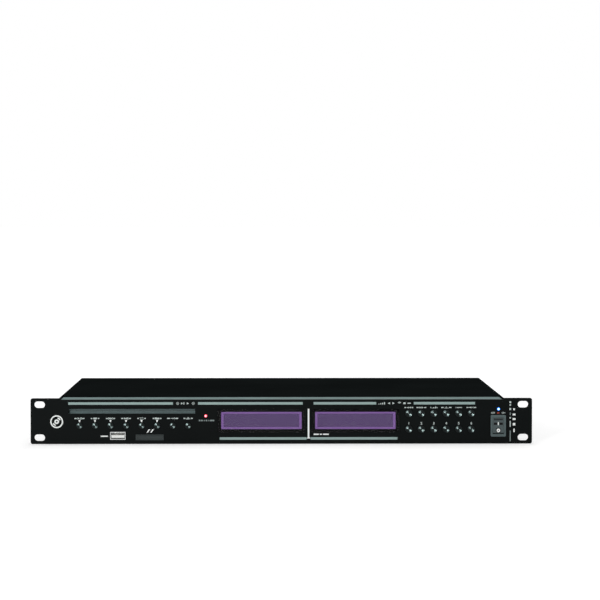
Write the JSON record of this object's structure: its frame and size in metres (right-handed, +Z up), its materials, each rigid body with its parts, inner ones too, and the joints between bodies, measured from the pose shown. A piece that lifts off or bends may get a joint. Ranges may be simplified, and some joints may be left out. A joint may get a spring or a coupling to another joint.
{
  "type": "cd player with tuner",
  "caption": "Flat black rack-mount disc player and radio tuner: slot-in disc drive, small violet displays, round push buttons, rocker power switch, USB and memory card sockets.",
  "frame": {"origin": "middle of the unit in width and depth, on the surface it stands on", "axes": "+X to the right seen from the front, +Y to the rear, +Z up; the front panel faces -Y"},
  "size_m": [0.4826, 0.294, 0.044],
  "materials": {
    "panel_black": "satin black powder coat",
    "case_black": "fine textured black paint",
    "bare_sheet": "bare zinc-plated sheet",
    "dark_steel": "blackened steel",
    "plated_steel": "bright plated steel",
    "nickel_plate": "nickel plating",
    "cast_alloy": "die-cast alloy",
    "button_black": "turned and black anodised",
    "pad_rubber": "moulded",
    "roller_rubber": "ground",
    "felt": "short-haired felt",
    "window_tint": "tinted clear acrylic",
    "display_field": "unlit violet display",
    "board_green": "lacquered circuit board",
    "lamp_blue": "clear coloured resin",
    "white_plastic": "moulded",
    "grey_plastic": "moulded",
    "dark_plastic": "moulded",
    "switch_plastic": "moulded",
    "rocker_plastic": "polished",
    "grey_cable": "cable jacket"
  },
  "bodies": {
    "unit": {"front_panel": "panel_black", "front_frame": "bare_sheet", "chassis": "case_black", "top_cover": "case_black", "rear_panel": "case_black", "rubber_pads": "pad_rubber", "case_screws": "dark_steel", "slot_guide": "dark_plastic", "felt_lips": "felt", "display_windows": "window_tint", "display_modules": "display_field", "control_board": "board_green", "front_leds": "lamp_blue", "usb_shell": "plated_steel", "usb_tongue": "white_plastic", "card_bezel": "grey_plastic", "switch_housing": "switch_plastic", "mech_base": "bare_sheet", "mech_top_plate": "bare_sheet", "mech_dampers": "pad_rubber", "traverse_plate": "bare_sheet", "mech_motors": "plated_steel", "main_board": "board_green", "tuner_module": "plated_steel", "power_supply": "board_green", "wiring": "grey_cable", "mains_inlet": "dark_plastic", "rear_sockets": "nickel_plate"},
    "cd_button_play": {"cd_button_play": "button_black"},
    "cd_button_stop": {"cd_button_stop": "button_black"},
    "cd_button_previous": {"cd_button_previous": "button_black"},
    "cd_button_next": {"cd_button_next": "button_black"},
    "cd_button_repeat": {"cd_button_repeat": "button_black"},
    "cd_button_folder": {"cd_button_folder": "button_black"},
    "cd_button_source": {"cd_button_source": "button_black"},
    "cd_button_eject": {"cd_button_eject": "button_black"},
    "tuner_button_preset_1": {"tuner_button_preset_1": "button_black"},
    "tuner_button_preset_2": {"tuner_button_preset_2": "button_black"},
    "tuner_button_preset_3": {"tuner_button_preset_3": "button_black"},
    "tuner_button_preset_4": {"tuner_button_preset_4": "button_black"},
    "tuner_button_preset_5": {"tuner_button_preset_5": "button_black"},
    "tuner_button_preset_6": {"tuner_button_preset_6": "button_black"},
    "tuner_button_tune_down": {"tuner_button_tune_down": "button_black"},
    "tuner_button_tune_up": {"tuner_button_tune_up": "button_black"},
    "tuner_button_band": {"tuner_button_band": "button_black"},
    "tuner_button_memory": {"tuner_button_memory": "button_black"},
    "tuner_button_mono": {"tuner_button_mono": "button_black"},
    "tuner_button_mute": {"tuner_button_mute": "button_black"},
    "power_rocker": {"power_rocker": "rocker_plastic"},
    "card_flap": {"card_flap": "grey_plastic"},
    "turntable": {"turntable": "dark_plastic"},
    "pickup": {"optical_pickup": "cast_alloy"},
    "leadscrew": {"leadscrew": "plated_steel"},
    "clamp_arm": {"clamp_arm": "bare_sheet"},
    "clamp_puck": {"clamp_puck": "dark_plastic"},
    "roller_arm": {"roller_arm": "bare_sheet", "loading_belt": "pad_rubber"},
    "disc_roller": {"disc_roller": "roller_rubber"},
    "motor_pulley": {"motor_pulley": "white_plastic"},
    "fuse_drawer": {"fuse_drawer": "dark_plastic"}
  },
  "joints": [
    {"name": "cd_button_play_press", "type": "slide", "parent": "unit", "child": "cd_button_play", "axis": [0, 1, 0], "range_m": [0, 0.0006], "stiffness_N_per_m": 200},
    {"name": "cd_button_stop_press", "type": "slide", "parent": "unit", "child": "cd_button_stop", "axis": [0, 1, 0], "range_m": [0, 0.0006], "stiffness_N_per_m": 200},
    {"name": "cd_button_previous_press", "type": "slide", "parent": "unit", "child": "cd_button_previous", "axis": [0, 1, 0], "range_m": [0, 0.0006], "stiffness_N_per_m": 200},
    {"name": "cd_button_next_press", "type": "slide", "parent": "unit", "child": "cd_button_next", "axis": [0, 1, 0], "range_m": [0, 0.0006], "stiffness_N_per_m": 200},
    {"name": "cd_button_repeat_press", "type": "slide", "parent": "unit", "child": "cd_button_repeat", "axis": [0, 1, 0], "range_m": [0, 0.0006], "stiffness_N_per_m": 200},
    {"name": "cd_button_folder_press", "type": "slide", "parent": "unit", "child": "cd_button_folder", "axis": [0, 1, 0], "range_m": [0, 0.0006], "stiffness_N_per_m": 200},
    {"name": "cd_button_source_press", "type": "slide", "parent": "unit", "child": "cd_button_source", "axis": [0, 1, 0], "range_m": [0, 0.0006], "stiffness_N_per_m": 200},
    {"name": "cd_button_eject_press", "type": "slide", "parent": "unit", "child": "cd_button_eject", "axis": [0, 1, 0], "range_m": [0, 0.0006], "stiffness_N_per_m": 200},
    {"name": "tuner_button_preset_1_press", "type": "slide", "parent": "unit", "child": "tuner_button_preset_1", "axis": [0, 1, 0], "range_m": [0, 0.0006], "stiffness_N_per_m": 200},
    {"name": "tuner_button_preset_2_press", "type": "slide", "parent": "unit", "child": "tuner_button_preset_2", "axis": [0, 1, 0], "range_m": [0, 0.0006], "stiffness_N_per_m": 200},
    {"name": "tuner_button_preset_3_press", "type": "slide", "parent": "unit", "child": "tuner_button_preset_3", "axis": [0, 1, 0], "range_m": [0, 0.0006], "stiffness_N_per_m": 200},
    {"name": "tuner_button_preset_4_press", "type": "slide", "parent": "unit", "child": "tuner_button_preset_4", "axis": [0, 1, 0], "range_m": [0, 0.0006], "stiffness_N_per_m": 200},
    {"name": "tuner_button_preset_5_press", "type": "slide", "parent": "unit", "child": "tuner_button_preset_5", "axis": [0, 1, 0], "range_m": [0, 0.0006], "stiffness_N_per_m": 200},
    {"name": "tuner_button_preset_6_press", "type": "slide", "parent": "unit", "child": "tuner_button_preset_6", "axis": [0, 1, 0], "range_m": [0, 0.0006], "stiffness_N_per_m": 200},
    {"name": "tuner_button_tune_down_press", "type": "slide", "parent": "unit", "child": "tuner_button_tune_down", "axis": [0, 1, 0], "range_m": [0, 0.0006], "stiffness_N_per_m": 200},
    {"name": "tuner_button_tune_up_press", "type": "slide", "parent": "unit", "child": "tuner_button_tune_up", "axis": [0, 1, 0], "range_m": [0, 0.0006], "stiffness_N_per_m": 200},
    {"name": "tuner_button_band_press", "type": "slide", "parent": "unit", "child": "tuner_button_band", "axis": [0, 1, 0], "range_m": [0, 0.0006], "stiffness_N_per_m": 200},
    {"name": "tuner_button_memory_press", "type": "slide", "parent": "unit", "child": "tuner_button_memory", "axis": [0, 1, 0], "range_m": [0, 0.0006], "stiffness_N_per_m": 200},
    {"name": "tuner_button_mono_press", "type": "slide", "parent": "unit", "child": "tuner_button_mono", "axis": [0, 1, 0], "range_m": [0, 0.0006], "stiffness_N_per_m": 200},
    {"name": "tuner_button_mute_press", "type": "slide", "parent": "unit", "child": "tuner_button_mute", "axis": [0, 1, 0], "range_m": [0, 0.0006], "stiffness_N_per_m": 200},
    {"name": "power_rocker_tilt", "type": "hinge", "parent": "unit", "child": "power_rocker", "pos_m": [0.2086, -0.14229, 0.0173], "axis": [1, 0, 0], "range_deg": [0, 18]},
    {"name": "card_flap_swing", "type": "hinge", "parent": "unit", "child": "card_flap", "pos_m": [-0.12695, -0.14264, 0.0076], "axis": [1, 0, 0], "range_deg": [0, 80], "stiffness_Nm_per_rad": 0.00002, "springref_deg": -17.19},
    {"name": "turntable_spin", "type": "hinge", "parent": "unit", "child": "turntable", "pos_m": [-0.1441, -0.04849, 0.0264], "axis": [0, 0, 1], "continuous": true},
    {"name": "pickup_slide", "type": "slide", "parent": "unit", "child": "pickup", "axis": [0, 1, 0], "range_m": [0, 0.035]},
    {"name": "leadscrew_spin", "type": "hinge", "parent": "unit", "child": "leadscrew", "pos_m": [-0.1171, 0.02951, 0.019], "axis": [0, 1, 0], "continuous": true},
    {"name": "clamp_arm_fall", "type": "hinge", "parent": "unit", "child": "clamp_arm", "pos_m": [-0.1441, 0.01451, 0.0362], "axis": [1, 0, 0], "range_deg": [0, 4.8]},
    {"name": "clamp_puck_spin", "type": "hinge", "parent": "clamp_arm", "child": "clamp_puck", "pos_m": [-0.1441, -0.04849, 0.034], "axis": [0, 0, 1], "continuous": true},
    {"name": "roller_arm_fall", "type": "hinge", "parent": "unit", "child": "roller_arm", "pos_m": [-0.1441, -0.09949, 0.02], "axis": [1, 0, 0], "range_deg": [0, 9], "stiffness_Nm_per_rad": 0.03, "springref_deg": -14.32},
    {"name": "disc_roller_spin", "type": "hinge", "parent": "roller_arm", "child": "disc_roller", "pos_m": [-0.1441, -0.11729, 0.02719], "axis": [1, 0, 0], "continuous": true},
    {"name": "motor_pulley_spin", "type": "hinge", "parent": "unit", "child": "motor_pulley", "pos_m": [-0.0759, -0.09949, 0.02], "axis": [1, 0, 0], "continuous": true},
    {"name": "fuse_drawer_slide", "type": "slide", "parent": "unit", "child": "fuse_drawer", "axis": [0, 1, 0], "range_m": [0, 0.014]}
  ],
  "couplings": [
    {"joint": "leadscrew_spin", "follows": "pickup_slide", "rad_per_m": 2094.4},
    {"joint": "motor_pulley_spin", "follows": "disc_roller_spin", "ratio": 2}
  ]
}
